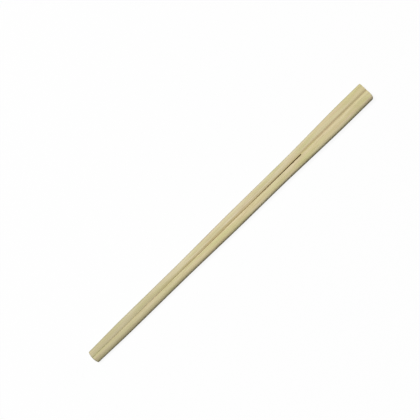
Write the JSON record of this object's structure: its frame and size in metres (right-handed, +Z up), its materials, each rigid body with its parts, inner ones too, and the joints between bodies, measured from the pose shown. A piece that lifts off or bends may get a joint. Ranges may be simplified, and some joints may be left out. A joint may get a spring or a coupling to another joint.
{
  "type": "joined bamboo chopsticks",
  "caption": "Disposable bamboo chopsticks still joined at a flat grooved head, slit from there down to slim round tips, to be snapped apart before eating.",
  "frame": {"origin": "under the middle of the joined chopsticks, on the plane they lie on", "axes": "+X along the sticks towards the joined head, +Y across them, +Z up"},
  "size_m": [0.23, 0.0124, 0.005],
  "materials": {
    "bamboo": "fine-sanded bare bamboo, satin"
  },
  "bodies": {
    "root": {"chopstick_pair": "bamboo"}
  },
  "joints": []
}
